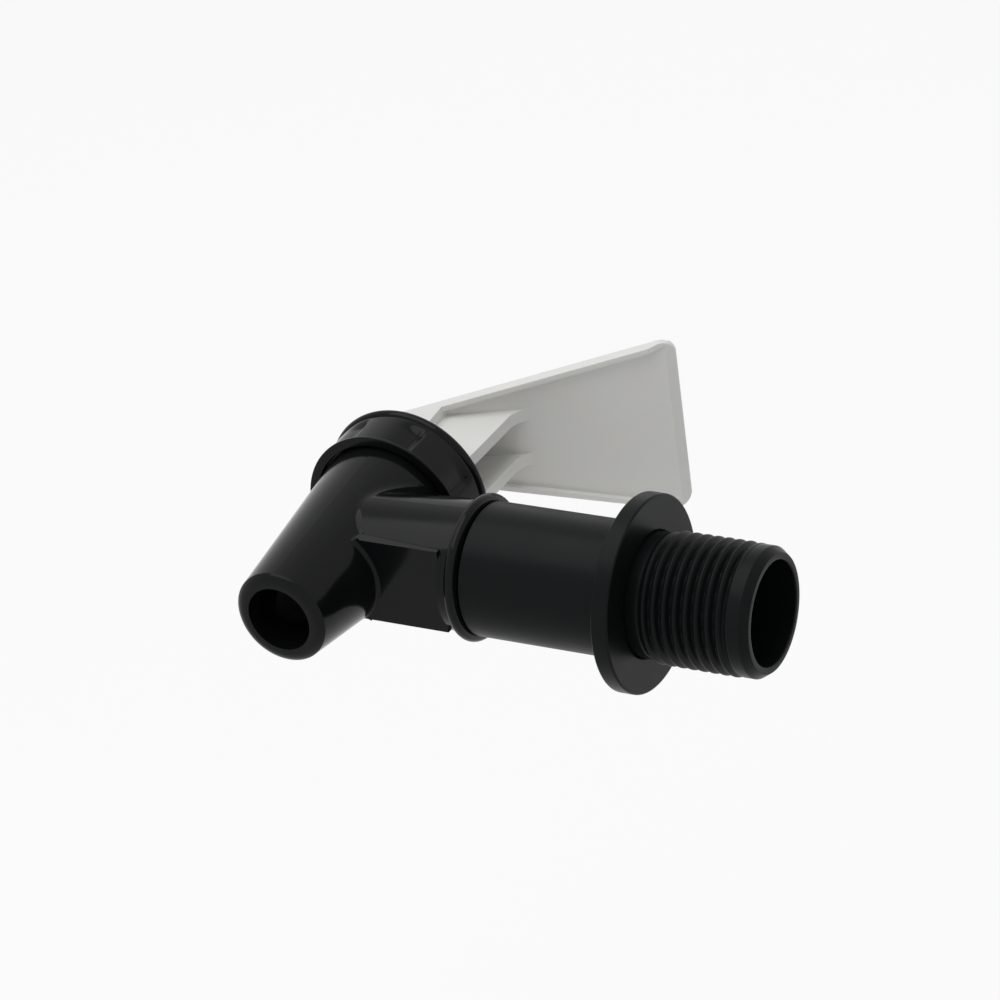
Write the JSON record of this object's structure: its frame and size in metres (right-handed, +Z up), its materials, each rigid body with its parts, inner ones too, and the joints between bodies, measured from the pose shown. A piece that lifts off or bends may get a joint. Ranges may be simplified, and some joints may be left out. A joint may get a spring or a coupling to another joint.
{
  "type": "cooler faucet",
  "caption": "Self-closing drinks cooler faucet: press paddle, screw-on bonnet, tapered spout and a straight threaded shank with a flange.",
  "frame": {"origin": "where the spout barrel's axis crosses the shank's axis", "axes": "+Z up the barrel to the handle, -Z out of the spout, +Y along the shank into the tank, +X to the right as seen from the user's side"},
  "size_m": [0.0315, 0.089, 0.0758],
  "materials": {
    "black_gloss": "glossy moulded black",
    "black_satin": "satin moulded black",
    "black_rubber": "matt rubber",
    "silicone": "milky silicone",
    "white_plastic": "satin off-white",
    "natural_plastic": "waxy natural white",
    "stainless": "drawn stainless wire"
  },
  "bodies": {
    "faucet_body": {"body": "black_gloss", "shank": "black_satin", "shank_o_ring": "black_rubber", "bonnet": "black_gloss", "seat_cup": "silicone"},
    "swivel": {"spring": "stainless", "thrust_washer": "natural_plastic"},
    "valve_stem": {"stem": "white_plastic", "handle_pin": "stainless"},
    "paddle": {"handle": "white_plastic"}
  },
  "joints": [
    {"name": "handle_swivel", "type": "hinge", "parent": "faucet_body", "child": "swivel", "pos_m": [0, 0, 0.02025], "axis": [0, 0, 1], "continuous": true},
    {"name": "stem_lift", "type": "slide", "parent": "swivel", "child": "valve_stem", "axis": [0, 0, 1], "range_m": [0, 0.0025], "stiffness_N_per_m": 670, "springref_m": -0.0045, "deforming": ["spring", "seat_cup"]},
    {"name": "handle_press", "type": "hinge", "parent": "valve_stem", "child": "paddle", "pos_m": [0, 0, 0.02725], "axis": [-1, 0, 0], "range_deg": [0, 24]}
  ],
  "couplings": [
    {"joint": "handle_press", "follows": "stem_lift", "rad_per_m": 166.67}
  ]
}
